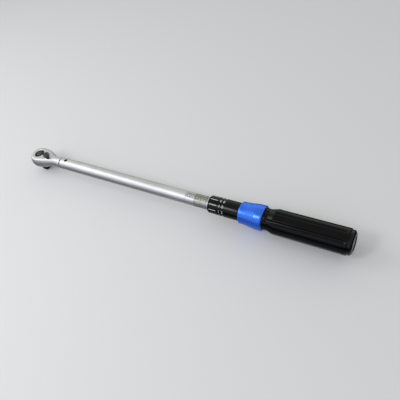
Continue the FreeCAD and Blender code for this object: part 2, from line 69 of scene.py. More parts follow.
# ---------------------------------------------------------------- sizes read from the frame
TUBE_LOW, TUBE_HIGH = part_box("main_tube")
TUBE_R = (TUBE_HIGH.z - TUBE_LOW.z) / 2
AXIS_Z = (TUBE_HIGH.z + TUBE_LOW.z) / 2
THIMBLE_X0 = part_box("scale_thimble")[0].x
THIMBLE_X1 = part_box("scale_thimble")[1].x
MARKS_X = THIMBLE_X0 + 3.2 * MM
THIMBLE_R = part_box("scale_thimble")[1].z - AXIS_Z
RING_X0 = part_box("lock_ring")[0].x
RING_X1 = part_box("lock_ring")[1].x
GRIP_X0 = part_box("grip")[0].x
GRIP_X1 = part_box("grip")[1].x
GRIP_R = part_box("grip")[1].y
CAP_X1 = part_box("end_cap")[1].x
HEAD_LOW, HEAD_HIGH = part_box("ratchet_head")
HEAD_R = -HEAD_LOW.x
HEAD_HALF = (HEAD_HIGH.z - HEAD_LOW.z) / 2
PIN_X = (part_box("pivot_pin")[0].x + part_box("pivot_pin")[1].x) / 2
FLOOR_Z = CAD_BOX[0][2] - 0.2 * MM

# ---------------------------------------------------------------- sizes that follow the CAD part
LEVER_X = 17.5 * MM          # shaft of the reversing lever
COLLAR_X = 47.6 * MM         # collar behind the head's neck
COLLAR_END_X = 54.2 * MM
FLUTES = 8
FLUTE_PHASE = math.radians(43.5)

# ---------------------------------------------------------------- camera
CAMERA_AT = Vector((0.6558, -0.3618, 0.4922))
CAMERA_RIGHT = Vector((0.857, 0.477, -0.192))
CAMERA_LOOK = Vector((-0.457, 0.535, -0.710))
FOCAL_PIXELS = 445.2
FRAME_PIXELS = 400
SENSOR_MM = 36.0
LIT_POINT = Vector((0.28, 0, 0))     # middle of the tool, where the lamps aim


# ---------------------------------------------------------------- mesh helpers
def new_object(name, bm):
    """Mesh object from a bmesh, with its normals outwards."""
    bmesh.ops.recalc_face_normals(bm, faces=bm.faces)
    mesh = bpy.data.meshes.new(name)
    bm.to_mesh(mesh)
    bm.free()
    piece = bpy.data.objects.new(name, mesh)
    bpy.context.scene.collection.objects.link(piece)
    soften(piece)
    return piece


def soften(piece, smooth_angle=35.0):
    """Shade smooth, except at edges sharper than the angle in degrees."""
    mesh = piece.data
    mesh.polygons.foreach_set("use_smooth", [True] * len(mesh.polygons))
    mesh.set_sharp_from_angle(angle=math.radians(smooth_angle))
    mesh.update()


def rounded(points, steps=5):
    """Profile with each (x, r, fillet) corner replaced by an arc of that fillet radius."""
    result = []
    count = len(points)
    for i, point in enumerate(points):
        here = Vector(point[:2])
        fillet = point[2] if len(point) > 2 else 0.0
        if fillet == 0.0 or i in (0, count - 1):
            result.append(here)
            continue
        before = (Vector(points[i - 1][:2]) - here).normalized()
        after = (Vector(points[i + 1][:2]) - here).normalized()
        half = before.angle(after) / 2
        reach = fillet / math.tan(half)
        centre = here + (before + after).normalized() * (fillet / math.sin(half))
        start = here + before * reach - centre
        turn = math.pi - 2 * half
        side = 1 if start.x * (here - centre).y - start.y * (here - centre).x > 0 else -1
        for k in range(steps + 1):
            a = side * turn * k / steps
            spoke = Vector((start.x * math.cos(a) - start.y * math.sin(a),
                            start.x * math.sin(a) + start.y * math.cos(a)))
            result.append(centre + spoke)
    return result


def ring_point(x, radius, angle):
    """Point about the tube's axis; angle 0 is on top and grows towards -Y."""
    return Vector((x, -radius * math.sin(angle), AXIS_Z + radius * math.cos(angle)))


def skin(name, stations, radius_at, segments=128, closed_loop=False):
    """Closed skin about the tube's axis: radius_at(station, angle) gives (x, radius), 0 at a pole."""
    bm = bmesh.new()
    rings = []
    for station in stations:
        samples = [radius_at(station, TAU * k / segments) for k in range(segments)]
        if max(r for x, r in samples) < TINY:
            rings.append([bm.verts.new(ring_point(samples[0][0], 0, 0))])
        else:
            rings.append([bm.verts.new(ring_point(x, r, TAU * k / segments))
                          for k, (x, r) in enumerate(samples)])
    pairs = list(zip(rings, rings[1:]))
    if closed_loop:
        pairs.append((rings[-1], rings[0]))
    for low, high in pairs:
        for k in range(segments):
            k2 = (k + 1) % segments
            if len(low) == 1:
                bm.faces.new((low[0], high[k], high[k2]))
            elif len(high) == 1:
                bm.faces.new((low[k], high[0], low[k2]))
            else:
                bm.faces.new((low[k], high[k], high[k2], low[k2]))
    return new_object(name, bm)


def lathe(name, profile, segments=128, closed_loop=False):
    """Turned piece from an (x, radius) profile."""
    return skin(name, profile, lambda point, angle: (point[0], point[1]), segments, closed_loop)


def cut(piece, cutters):
    """Cut each cutter out of the piece and delete the cutters."""
    for cutter in cutters:
        modifier = piece.modifiers.new("cut", "BOOLEAN")
        modifier.operation = "DIFFERENCE"
        modifier.solver = "EXACT"
        modifier.object = cutter
        bpy.context.view_layer.objects.active = piece
        bpy.ops.object.modifier_apply(modifier=modifier.name)
        bpy.data.objects.remove(cutter)
    soften(piece)
    return piece


def upright(name, profile, x=0.0):
    """Turned cutter about an upright axis at x, from (z, radius) points; both ends are closed."""
    segments = 96
    bm = bmesh.new()
    rings = []
    for z, radius in profile:
        rings.append([bm.verts.new((x + radius * math.cos(TAU * k / segments),
                                    radius * math.sin(TAU * k / segments), z))
                      for k in range(segments)])
    for low, high in zip(rings, rings[1:]):
        for k in range(segments):
            k2 = (k + 1) % segments
            bm.faces.new((low[k], low[k2], high[k2], high[k]))
    bm.faces.new(rings[0])
    bm.faces.new(rings[-1])
    return new_object(name, bm)


def stand_for(piece, node, body):
    """Let the piece ride on a body in the place of its CAD node."""
    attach(piece, body)
    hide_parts(node)


def paint(piece, material):
    """Give the whole piece one material."""
    piece.data.materials.clear()
    piece.data.materials.append(material)


# ---------------------------------------------------------------- material helpers
class Nodes:
    """Short way to add nodes to a new Principled material."""

    def __init__(self, name):
        self.material = bpy.data.materials.new(name)
        self.material.use_nodes = True
        self.tree = self.material.node_tree
        self.shader = self.tree.nodes["Principled BSDF"]
        self.place = self.add("ShaderNodeTexCoord").outputs["Object"]

    def add(self, kind, **values):
        node = self.tree.nodes.new(kind)
        for key, value in values.items():
            setattr(node, key, value)
        return node

    def link(self, source, target):
        self.tree.links.new(source, target)

    def scaled(self, scale):
        mapping = self.add("ShaderNodeMapping")
        mapping.inputs["Scale"].default_value = scale
        self.link(self.place, mapping.inputs["Vector"])
        return mapping.outputs["Vector"]

    def noise(self, scale, stretch=(1, 1, 1), detail=4.0):
        node = self.add("ShaderNodeTexNoise")
        node.inputs["Scale"].default_value = scale
        node.inputs["Detail"].default_value = detail
        self.link(self.scaled(stretch), node.inputs["Vector"])
        return node.outputs["Fac"]

    def ramp(self, value, low, high, at=(0.3, 0.7)):
        node = self.add("ShaderNodeMapRange")
        node.inputs["From Min"].default_value = at[0]
        node.inputs["From Max"].default_value = at[1]
        node.inputs["To Min"].default_value = low
        node.inputs["To Max"].default_value = high
        self.link(value, node.inputs["Value"])
        return node.outputs["Result"]

    def colours(self, value, low, high):
        node = self.add("ShaderNodeMix", data_type="RGBA")
        node.inputs[6].default_value = (*low, 1)
        node.inputs[7].default_value = (*high, 1)
        self.link(value, node.inputs[0])
        return node.outputs[2]

    def bump(self, height, distance, strength=0.5, after=None):
        node = self.add("ShaderNodeBump")
        node.inputs["Strength"].default_value = strength
        node.inputs["Distance"].default_value = distance
        self.link(height, node.inputs["Height"])
        if after is not None:
            self.link(after, node.inputs["Normal"])
        return node.outputs["Normal"]

    def wire(self, socket, source):
        self.link(source, self.shader.inputs[socket])


TURNED = (1, 0.02, 0.02)     # stretch that lays a grain in rings round the tube
EDGE_TINT = (0.55, 0.56, 0.58, 1)    # metal seen at a grazing angle


def metal(name, dark, light, roughness, grain, stretch=(1, 1, 1), bump=0.00002):
    """Metal with a grain; stretch lengthens the grain along an axis."""
    n = Nodes(name)
    n.shader.inputs["Metallic"].default_value = 1.0
    n.shader.inputs["Specular Tint"].default_value = EDGE_TINT
    fine = n.noise(grain, stretch)
    broad = n.noise(35.0, detail=3.0)
    n.wire("Base Color", n.colours(n.ramp(broad, 0.0, 1.0), dark, light))
    n.wire("Roughness", n.ramp(fine, roughness * 0.82, roughness * 1.2))
    n.wire("Normal", n.bump(fine, bump))
    return n.material


def plastic(name, dark, light, roughness, grain, bump, shine=0.5):
    """Moulded plastic, rubber or ink, with a faint skin texture and handling marks."""
    n = Nodes(name)
    n.shader.inputs["Specular IOR Level"].default_value = shine
    fine = n.noise(grain)
    broad = n.noise(45.0, detail=6.0)
    n.wire("Base Color", n.colours(n.ramp(broad, 0.0, 1.0), dark, light))
    n.wire("Roughness", n.ramp(broad, roughness * 0.8, roughness * 1.25))
    n.wire("Normal", n.bump(fine, bump))
    return n.material


def anodised_blue():
    """Anodised aluminium: a blue film over turned metal, with faint tool rings."""
    n = Nodes("ring_anodised_blue")
    rings = n.noise(1500.0, TURNED, detail=2.0)
    broad = n.noise(60.0, detail=4.0)
    n.shader.inputs["Metallic"].default_value = 0.5
    n.shader.inputs["Coat Weight"].default_value = 0.15
    n.shader.inputs["Coat Roughness"].default_value = 0.12
    n.wire("Base Color", n.colours(n.ramp(broad, 0.0, 1.0), (0.036, 0.185, 0.96), (0.046, 0.215, 1.0)))
    n.wire("Roughness", n.ramp(rings, 0.26, 0.30))
    n.wire("Normal", n.bump(rings, 0.000003, 0.3))
    return n.material


def tube_metal():
    """Satin chrome with fine rings, and a duller etched panel under the scale."""
    n = Nodes("tube_satin_chrome")
    n.shader.inputs["Metallic"].default_value = 1.0
    n.shader.inputs["Specular Tint"].default_value = EDGE_TINT
    rings = n.noise(2600.0, TURNED, detail=2.0)
    smudge = n.noise(28.0, detail=5.0)
    split = n.add("ShaderNodeSeparateXYZ")
    n.link(n.place, split.inputs[0])
    panel_edge = 0.6 * MM
    rise = n.ramp(split.outputs["X"], 0.0, 1.0, at=(PANEL_X0, PANEL_X0 + panel_edge))
    fall = n.ramp(split.outputs["X"], 1.0, 0.0, at=(PANEL_X1 - panel_edge, PANEL_X1))
    panel = n.add("ShaderNodeMath", operation="MULTIPLY")
    n.link(rise, panel.inputs[0])
    n.link(fall, panel.inputs[1])
    base = n.colours(n.ramp(smudge, 0.0, 1.0), (0.68, 0.69, 0.69), (0.76, 0.76, 0.76))
    mixed = n.add("ShaderNodeMix", data_type="RGBA")
    n.link(panel.outputs[0], mixed.inputs[0])
    n.link(base, mixed.inputs[6])
    stipple = n.ramp(n.noise(620.0, detail=2.0), 0.0, 1.0, at=(0.40, 0.60))
    n.link(n.colours(stipple, (0.33, 0.335, 0.30), (0.64, 0.645, 0.60)), mixed.inputs[7])
    n.wire("Base Color", mixed.outputs[2])
    rough = n.add("ShaderNodeMix", data_type="FLOAT")
    n.link(panel.outputs[0], rough.inputs[0])
    n.link(n.ramp(rings, 0.45, 0.55), rough.inputs[2])
    rough.inputs[3].default_value = 0.55
    n.wire("Roughness", rough.outputs[0])
    n.wire("Normal", n.bump(rings, 0.000012, 0.4))
    return n.material


def cast_chrome():
    """Satin chrome over a forged surface, with a fine pebble, and painted shade on the tail behind the
    collar, which sits inside the tube.
    """
    n = Nodes("head_satin_chrome")
    n.shader.inputs["Metallic"].default_value = 1.0
    n.shader.inputs["Specular Tint"].default_value = EDGE_TINT
    pebble = n.noise(900.0, detail=3.0)
    hollows = n.noise(130.0, detail=2.0)
    split = n.add("ShaderNodeSeparateXYZ")
    n.link(n.place, split.inputs[0])
    plated = n.colours(n.ramp(hollows, 0.0, 1.0), (0.66, 0.67, 0.67), (0.75, 0.75, 0.75))
    mixed = n.add("ShaderNodeMix", data_type="RGBA")
    # painted shade: the spigot and tail behind the collar lie inside the tube and are coloured near
    # black to stand in for its shade
    tail = n.ramp(split.outputs["X"], 0.0, 1.0, at=(COLLAR_END_X, COLLAR_END_X + 0.2 * MM))
    n.link(tail, mixed.inputs[0])
    n.link(plated, mixed.inputs[6])
    mixed.inputs[7].default_value = (0.06, 0.06, 0.055, 1)
    n.wire("Base Color", mixed.outputs[2])
    n.wire("Roughness", n.ramp(pebble, 0.46, 0.56))
    soft = n.bump(hollows, 0.00010, 0.35)
    n.wire("Normal", n.bump(pebble, 0.000035, 0.5, after=soft))
    return n.material


# ---------------------------------------------------------------- scale marks
SCALE_LEAD = 4.4 * MM        # tube length of one handle turn
UNITS_PER_TURN = 20          # newton metres
LOWEST = 28
HIGHEST = 210
NEWTON_METRES_PER_FOOT_POUND = 1.356
LINE_X = TUBE_LOW.x + 267.9 * MM
PANEL_X0 = LINE_X + 15.7 * MM
PANEL_X1 = LINE_X + 39.8 * MM
INK = 0.03 * MM              # thickness of a printed mark
DATUM_ANGLE = math.radians(12)   # long line of the tube's scale, from the top


def scale_x(value):
    """Where the thimble's front edge stands when the setting is value."""
    return THIMBLE_X0 - (value - LOWEST) / UNITS_PER_TURN * SCALE_LEAD


def wrapped_box(bm, x0, x1, angle0, angle1, radius, thick):
    """Thin curved block on a cylinder about the tube's axis."""
    longest_step = math.radians(4)
    steps = max(1, round(abs(angle1 - angle0) / longest_step))
    rows = []
    for k in range(steps + 1):
        angle = angle0 + (angle1 - angle0) * k / steps
        rows.append([bm.verts.new(ring_point(x, r, angle)) for x, r in
                     ((x0, radius), (x1, radius), (x1, radius + thick), (x0, radius + thick))])
    for low, high in zip(rows, rows[1:]):
        for k in range(4):
            k2 = (k + 1) % 4
            bm.faces.new((low[k], low[k2], high[k2], high[k]))
    bm.faces.new(rows[0])
    bm.faces.new(rows[-1])


def wrapped_text(bm, words, x, angle, height, radius, thick, spacing=1.0, boldness=0.0):
    """Number on a cylinder: it starts at x, reads along +X, and is centred on the angle."""
    size_per_digit_height = 1.42
    slices = 7                   # cuts across the digits, so that they bend with the cylinder
    curve = bpy.data.curves.new("number", "FONT")
    curve.body = words
    curve.size = height * size_per_digit_height
    curve.space_character = spacing
    curve.resolution_u = 3
    curve.offset = boldness
    curve.extrude = thick / 2
    curve.align_y = "CENTER"
    maker = bpy.data.objects.new("number", curve)
    bpy.context.scene.collection.objects.link(maker)
    bpy.context.view_layer.update()
    mesh = bpy.data.meshes.new_from_object(maker.evaluated_get(bpy.context.evaluated_depsgraph_get()))
    bpy.data.objects.remove(maker)
    flat = bmesh.new()
    flat.from_mesh(mesh)
    bmesh.ops.remove_doubles(flat, verts=flat.verts, dist=TINY)
    for k in range(slices):
        everything = flat.verts[:] + flat.edges[:] + flat.faces[:]
        cut_at = (0, height * (k - slices // 2) / slices, 0)
        bmesh.ops.bisect_plane(flat, geom=everything, plane_co=cut_at, plane_no=(0, 1, 0))
    for vert in flat.verts:
        u, v, w = vert.co
        vert.co = ring_point(x + u, radius + thick / 2 + w, angle - v / radius)
    flat.to_mesh(mesh)
    flat.free()
    bm.from_mesh(mesh)
    bpy.data.meshes.remove(mesh)


def tube_scale():
    """Main scale: a datum line near the top, crossed by a line for each half turn of the handle."""
    bm = bmesh.new()
    overrun = 1.5 * MM
    start = scale_x(HIGHEST) - overrun
    end = THIMBLE_X0 + overrun
    half_line = 0.18 * MM
    half = math.radians(1.0)
    wrapped_box(bm, start, end, DATUM_ANGLE - half, DATUM_ANGLE + half, TUBE_R, INK)
    for number in range(30, HIGHEST + 1, UNITS_PER_TURN // 2):
        x = scale_x(number)
        reach = math.radians(8.0 if number % UNITS_PER_TURN == 10 else 5.0)
        for side in (-1, 1):
            near = DATUM_ANGLE + side * half
            far = DATUM_ANGLE + side * reach
            wrapped_box(bm, x - half_line, x + half_line, min(near, far), max(near, far), TUBE_R, INK)
    return new_object("scale_lines", bm)


def tube_numbers():
    """Newton metres on the far side of the datum line, foot pounds on the near side."""
    bm = bmesh.new()
    height = 2.5 * MM
    lead_in = 1.6 * MM           # from a number's first edge to its line
    offset = math.radians(17)
    bold = 0.06 * MM
    for number in range(30, HIGHEST + 1, UNITS_PER_TURN):
        x = scale_x(number) - lead_in
        foot_pounds = round(number / NEWTON_METRES_PER_FOOT_POUND)
        wrapped_text(bm, str(number), x, DATUM_ANGLE - offset, height, TUBE_R, INK, boldness=bold)
        wrapped_text(bm, str(foot_pounds), x, DATUM_ANGLE + offset, height, TUBE_R, INK, boldness=bold)
    return new_object("scale_numbers", bm)


def thimble_marks():
    """Ten long ticks round the thimble, each with its number behind it."""
    bm = bmesh.new()
    ticks = 10
    first = 8                    # number of the tick nearest the top
    units_per_tick = UNITS_PER_TURN // ticks
    phase = math.radians(2.5)
    half = math.radians(1.9)
    tick_end = MARKS_X + 11.7 * MM
    words_x = MARKS_X + 15.1 * MM
    height = 4.3 * MM
    for k in range(ticks):
        angle = phase + TAU * k / ticks
        wrapped_box(bm, MARKS_X, tick_end, angle - half, angle + half, THIMBLE_R, INK)
        words = "%02d" % ((first + units_per_tick * k) % UNITS_PER_TURN)
        wrapped_text(bm, words, words_x, angle, height, THIMBLE_R, INK, spacing=1.75)
    return new_object("thimble_marks", bm)


# ---------------------------------------------------------------- pieces: head
def head_half_width(x):
    """Half width of the head in plan: round nose, tapering flanks, shoulders and neck."""
    shoulder_x = 17 * MM
    shoulder_r = 16.1 * MM
    neck_x = 38 * MM
    neck_r = 8.8 * MM
    if x <= 0:
        return math.sqrt(max(0.0, HEAD_R ** 2 - x ** 2))
    if x < shoulder_x:
        return HEAD_R + (shoulder_r - HEAD_R) * (x / shoulder_x) ** 2
    if x < neck_x:
        t = (x - shoulder_x) / (neck_x - shoulder_x)
        drift = 2 * (shoulder_r - HEAD_R) / shoulder_x * (neck_x - shoulder_x)
        return shoulder_r + (neck_r - shoulder_r) * t * t * (3 - 2 * t) + drift * t * (1 - t) ** 2
    return neck_r


def head_casting():
    """Forged head with rounded rims, its neck, collar and tail, with the bores cut in it."""
    sharpness = 13               # of the rims between the flanks and the two faces
    stations = [(-HEAD_R, 0.0)]
    nose_steps = 40
    for k in range(1, nose_steps):
        stations.append((-HEAD_R * math.cos(math.pi / 2 * k / nose_steps), None))
    body_steps = 44
    neck_x = COLLAR_X - 3 * MM
    for k in range(body_steps + 1):
        stations.append((neck_x * k / body_steps, None))
    neck_r = head_half_width(neck_x)
    collar_r = TUBE_R - 0.1 * MM
    groove_r = neck_r - 0.5 * MM
    spigot_r = 8.2 * MM
    tail_r = 7.5 * MM
    tail_end_x = HEAD_HIGH.x
    rear = rounded([
        (neck_x, neck_r),
        (COLLAR_X - 1.4 * MM, neck_r, 0.6 * MM),
        (COLLAR_X - 0.9 * MM, groove_r, 0.3 * MM),
        (COLLAR_X - 0.3 * MM, groove_r, 0.2 * MM),
        (COLLAR_X, collar_r, 0.4 * MM),
        (COLLAR_END_X, collar_r, 0.7 * MM),
        (COLLAR_END_X, spigot_r),
        (TUBE_LOW.x - 0.7 * MM, spigot_r),
        (TUBE_LOW.x - 0.2 * MM, tail_r),
        (PIN_X + 8.0 * MM, tail_r),
        (tail_end_x - 6.0 * MM, 5.4 * MM),
        (tail_end_x - 0.05 * MM, 5.0 * MM),
        (tail_end_x, 0.0),
    ])
    for point in rear[1:]:
        stations.append((point[0], point[1]))
    least_plan = 1e-5            # both keep the powers finite
    least_lean = 1e-4

    def radius_at(station, angle):
        x, radius = station
        if radius is not None:
            return x, radius
        plan = max(head_half_width(x), least_plan)
        lean = abs(math.cos(angle))
        flat = HEAD_HALF / max(lean, least_lean)
        return x, (plan ** -sharpness + flat ** -sharpness) ** (-1 / sharpness)

    piece = skin("head_casting", stations, radius_at, segments=160)
    cut(piece, head_bores())
    stand_for(piece, "ratchet_head", "head")
    return piece


def head_bores():
    """Cutters for the gear, its chamber, the cover, the lever's shaft and the cross pin."""
    top = AXIS_Z + HEAD_HALF
    low = AXIS_Z - HEAD_HALF
    above = top + 2 * MM         # where the cutters stand clear of the head
    below = low - 2 * MM
    chamber_low = 3.0 * MM
    chamber_top = 12.6 * MM
    chamber_r = 12.4 * MM
    cover_top = 3.05 * MM
    shaft_low = 1.4 * MM
    gear_r = 9.05 * MM
    gear_rim_r = 10.05 * MM
    cover_r = 13.45 * MM
    cover_rim_r = 14.0 * MM
    shaft_r = 3.55 * MM
    pin_r = 3.25 * MM
    gear_bore = upright("gear_bore", [
        (chamber_top, gear_r),
        (top - 0.75 * MM, gear_r),
        (top + 0.25 * MM, gear_rim_r),
        (above, gear_rim_r),
    ])
    chamber = upright("chamber", [(chamber_low, chamber_r), (chamber_top, chamber_r)])
    cover_seat = upright("cover_seat", [
        (below, cover_rim_r),
        (low - 0.2 * MM, cover_rim_r),
        (low + 0.35 * MM, cover_r),
        (cover_top, cover_r),
    ])
    shaft_bore = upright("shaft_bore", [(shaft_low, shaft_r), (above, shaft_r)], x=LEVER_X)
    pin_bore = upright("pin_bore", [(below, pin_r), (above, pin_r)], x=PIN_X)
    return [gear_bore, chamber, cover_seat, shaft_bore, pin_bore]


def tube_skin():
    """Tube with eased ends, the etched line and the two pin holes."""
    wall = 2 * MM
    line_depth = 0.25 * MM
    hole_r = 3.3 * MM
    x0 = TUBE_LOW.x + 0.2 * MM
    x1 = TUBE_HIGH.x
    profile = rounded([
        (x0, TUBE_R - wall),
        (x0, TUBE_R, 0.6 * MM),
        (LINE_X, TUBE_R),
        (LINE_X + 0.1 * MM, TUBE_R - line_depth),
        (LINE_X + 0.8 * MM, TUBE_R - line_depth),
        (LINE_X + 0.9 * MM, TUBE_R),
        (x1, TUBE_R, 0.4 * MM),
        (x1, TUBE_R - wall),
    ])
    piece = lathe("tube_skin", profile, segments=160, closed_loop=True)
    pin_hole = upright("pin_hole", [
        (AXIS_Z - 2 * TUBE_R, hole_r),
        (AXIS_Z + 2 * TUBE_R, hole_r),
    ], x=PIN_X)
    cut(piece, [pin_hole])
    stand_for(piece, "main_tube", "tube")
    return piece


def thimble_body():
    """Scale thimble with a rounded front, a step under the ring and a socket for the sleeve."""
    bore = TUBE_R + 0.3 * MM
    under_ring_r = THIMBLE_R - 0.3 * MM
    sleeve_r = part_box("handle_sleeve")[1].y
    sleeve_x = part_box("handle_sleeve")[0].x
    profile = rounded([
        (THIMBLE_X0, bore),
        (THIMBLE_X0, THIMBLE_R - 1.0 * MM, 0.3 * MM),
        (THIMBLE_X0 + 1.6 * MM, THIMBLE_R, 1.0 * MM),
        (RING_X0 - 0.3 * MM, THIMBLE_R, 0.2 * MM),
        (RING_X0 - 0.3 * MM, under_ring_r),
        (THIMBLE_X1, under_ring_r),
        (THIMBLE_X1, sleeve_r),
        (sleeve_x, sleeve_r),
        (sleeve_x, bore),
    ])
    piece = lathe("thimble_body", profile, segments=160, closed_loop=True)
    stand_for(piece, "scale_thimble", "handle")
    return piece


# ---------------------------------------------------------------- pieces: handle
def lock_collar():
    """Blue sliding ring: rolled lips, a waist and a flare, hollow for its ramp and spring."""
    x0 = RING_X0
    x1 = RING_X1
    lip = THIMBLE_R + 0.05 * MM
    pocket_r = 16.3 * MM
    spring_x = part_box("lock_spring")[0].x - 0.1 * MM
    ball_x = (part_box("lock_ball_1")[0].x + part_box("lock_ball_1")[1].x) / 2
    ramp_x = ball_x - 7.6 * MM
    ramp_low = 14.55 * MM
    ramp_high = 15.77 * MM
    outer = [
        (x0, lip),
        (x0, 15.9 * MM, 0.9 * MM),
        (x0 + 2.0 * MM, 16.4 * MM, 1.0 * MM),
        (x0 + 4.6 * MM, 16.2 * MM, 3.0 * MM),
        (x0 + 12.0 * MM, 16.9 * MM, 12.0 * MM),
        (x0 + 25.0 * MM, 18.7 * MM, 14.0 * MM),
        (x1 - 0.6 * MM, 18.9 * MM, 2.6 * MM),
        (x1, 16.9 * MM, 0.5 * MM),
        (x1, pocket_r),
        (spring_x, pocket_r),
        (spring_x, ramp_low),
        (ball_x, ramp_low),
        (ramp_x, ramp_high),
        (ramp_x, lip),
    ]
    piece = lathe("lock_collar", rounded(outer, steps=8), segments=160, closed_loop=True)
    stand_for(piece, "lock_ring", "ring")
    return piece


def soft_min(a, b, blend):
    """Smaller of two lengths, with the change from one to the other rounded over blend."""
    mix = max(blend - abs(a - b), 0.0) / blend
    return min(a, b) - mix * mix * blend / 4


def grip_stops(span):
    """Distances of the rings along a stretch of the grip: a long one is fine only near its ends."""
    long_span = 20 * MM
    short_step = 0.8 * MM
    fine = 8 * MM
    fine_parts = 16
    middle_parts = 6
    if span <= long_span:
        parts = max(1, math.ceil(span / short_step))
        return [span * k / parts for k in range(parts)]
    stops = [fine * k / fine_parts for k in range(fine_parts)]
    stops += [fine + (span - 2 * fine) * k / middle_parts for k in range(middle_parts)]
    stops += [span - fine + fine * k / fine_parts for k in range(fine_parts)]
    return stops


def grip_body():
    """Grip with eight round-bottomed flutes that run out before its ends."""
    x0 = GRIP_X0
    x1 = GRIP_X1
    nose_r = 15.9 * MM
    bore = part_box("handle_sleeve")[1].y
    flute_r = 3.2 * MM
    depth = 1.5 * MM
    flute_x0 = x0 + 4 * MM
    flute_x1 = x1 - 5 * MM
    edge_blend = 0.9 * MM
    outline = rounded([
        (x0, bore),
        (x0, nose_r, 0.6 * MM),
        (x0 + 6.0 * MM, nose_r, 3.0 * MM),
        (x0 + 15.0 * MM, GRIP_R, 10.0 * MM),
        (x1 - 0.1 * MM, GRIP_R, 1.2 * MM),
        (x1, GRIP_R - 2.6 * MM),
        (x1, bore),
    ], steps=10)
    stations = []
    for here, there in zip(outline, outline[1:]):
        span = there[0] - here[0]
        for mark in grip_stops(span):
            share = mark / span if span else 0.0
            stations.append((here[0] + mark, here[1] + (there[1] - here[1]) * share))
    stations.append(tuple(outline[-1]))

    def radius_at(station, angle):
        x, radius = station
        period = TAU / FLUTES
        off = (angle - FLUTE_PHASE + period / 2) % period - period / 2
        past = max(flute_x0 - x, x - flute_x1, 0.0)
        centre_r = radius + flute_r - depth
        reach = flute_r ** 2 - past ** 2 - (centre_r * math.sin(off)) ** 2
        if reach <= 0 or radius < nose_r - 0.01 * MM:
            return x, radius
        floor = centre_r * math.cos(off) - math.sqrt(reach)
        return x, soft_min(radius, floor, edge_blend)

    piece = skin("grip_body", stations, radius_at, segments=400, closed_loop=True)
    stand_for(piece, "grip", "handle")
    return piece


def cap_body():
    """End cap: a rolled rim, a shallow dished end and its spigot."""
    x0 = GRIP_X1
    x1 = CAP_X1
    spigot_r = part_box("handle_sleeve")[1].y
    hollow_r = spigot_r - 1.8 * MM
    hollow_x = x0 + 1.4 * MM
    spigot_x = x0 - 4.0 * MM
    dish_x = x1 - 0.8 * MM
    rim = 17.2 * MM
    profile = rounded([
        (hollow_x, 0.0),
        (hollow_x, hollow_r),
        (spigot_x, hollow_r),
        (spigot_x, spigot_r),
        (x0, spigot_r),
        (x0, rim, 0.5 * MM),
        (x1 - 2.4 * MM, rim, 2.0 * MM),
        (x1, rim - 3.6 * MM, 1.4 * MM),
        (x1, 10.5 * MM, 0.5 * MM),
        (dish_x, 9.8 * MM, 0.5 * MM),
        (dish_x, 0.0),
    ], steps=8)
    piece = lathe("cap_body", profile, segments=128)
    stand_for(piece, "end_cap", "handle")
    return piece


# ---------------------------------------------------------------- pieces: springs
def coil(name, node, wire_r, turns, along_x, slack=0.0):
    """Round-wire spring that fills its CAD node's box, less some slack at its high end."""
    low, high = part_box(node)
    middle = (low + high) / 2
    mean_r = (high.y - low.y) / 2 - wire_r
    start = low.x if along_x else low.z
    end = (high.x if along_x else high.z) - slack
    steps_per_turn = 24
    sides = 10
    steps = turns * steps_per_turn
    bm = bmesh.new()
    rows = []
    for k in range(steps + 1):
        turn = TAU * k / steps_per_turn
        rise = start + wire_r + (end - start - 2 * wire_r) * k / steps
        row = []
        for side in range(sides):
            swing = TAU * side / sides
            radius = mean_r + wire_r * math.cos(swing)
            along = rise + wire_r * math.sin(swing)
            across = radius * math.cos(turn)
            aside = radius * math.sin(turn)
            if along_x:
                row.append(bm.verts.new((along, middle.y + across, middle.z + aside)))
            else:
                row.append(bm.verts.new((middle.x + across, middle.y + aside, along)))
        rows.append(row)
    for here, there in zip(rows, rows[1:]):
        for side in range(sides):
            after = (side + 1) % sides
            bm.faces.new((here[side], here[after], there[after], there[side]))
    bm.faces.new(rows[0])
    bm.faces.new(rows[-1])
    return new_object(name, bm)


def working_spring(piece, node, body, steel):
    """Let a coil ride on a body in the place of its CAD node, painted in the steel, with a mesh of its
    own.
    """
    stand_for(piece, node, body)
    paint(piece, steel)
    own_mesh(piece)


def springs(steel):
    """The three springs of the handle, the ring and the button, each riding on a body."""
    click_room = 2.3 * MM        # kept free for the plunger's step back at the click
    main_coil = coil("main_coil", "main_spring", 2.0 * MM, 24, True, slack=click_room)
    working_spring(main_coil, "main_spring", "plunger", steel)
    lock_coil = coil("lock_coil", "lock_spring", 0.7 * MM, 3, True)
    working_spring(lock_coil, "lock_spring", "handle", steel)
    release_coil = coil("release_coil", "release_spring", 0.19 * MM, 3, False)
    working_spring(release_coil, "release_spring", "drive",
                   steel)


# ---------------------------------------------------------------- stage
def floor_and_light():
    """Two lamps, the walls' glow, and a pale floor that neither mirrors nor bounces light."""
    floor_side = 12.0
    bpy.ops.mesh.primitive_plane_add(size=floor_side, location=(0, 0, FLOOR_Z))
    floor = bpy.context.object
    floor.name = "floor"
    n = Nodes("pale_floor")
    n.shader.inputs["Base Color"].default_value = (0.82, 0.82, 0.82, 1)
    n.shader.inputs["Roughness"].default_value = 0.8
    n.shader.inputs["Specular IOR Level"].default_value = 0.1
    floor.data.materials.append(n.material)
    floor.visible_glossy = False
    floor.visible_diffuse = False
    studio_world()
    area_light("key", (0.0, -0.72, 0.84), 0.36, 2.6)
    area_light("far", (-0.90, -0.30, 0.85), 0.90, 4.4)


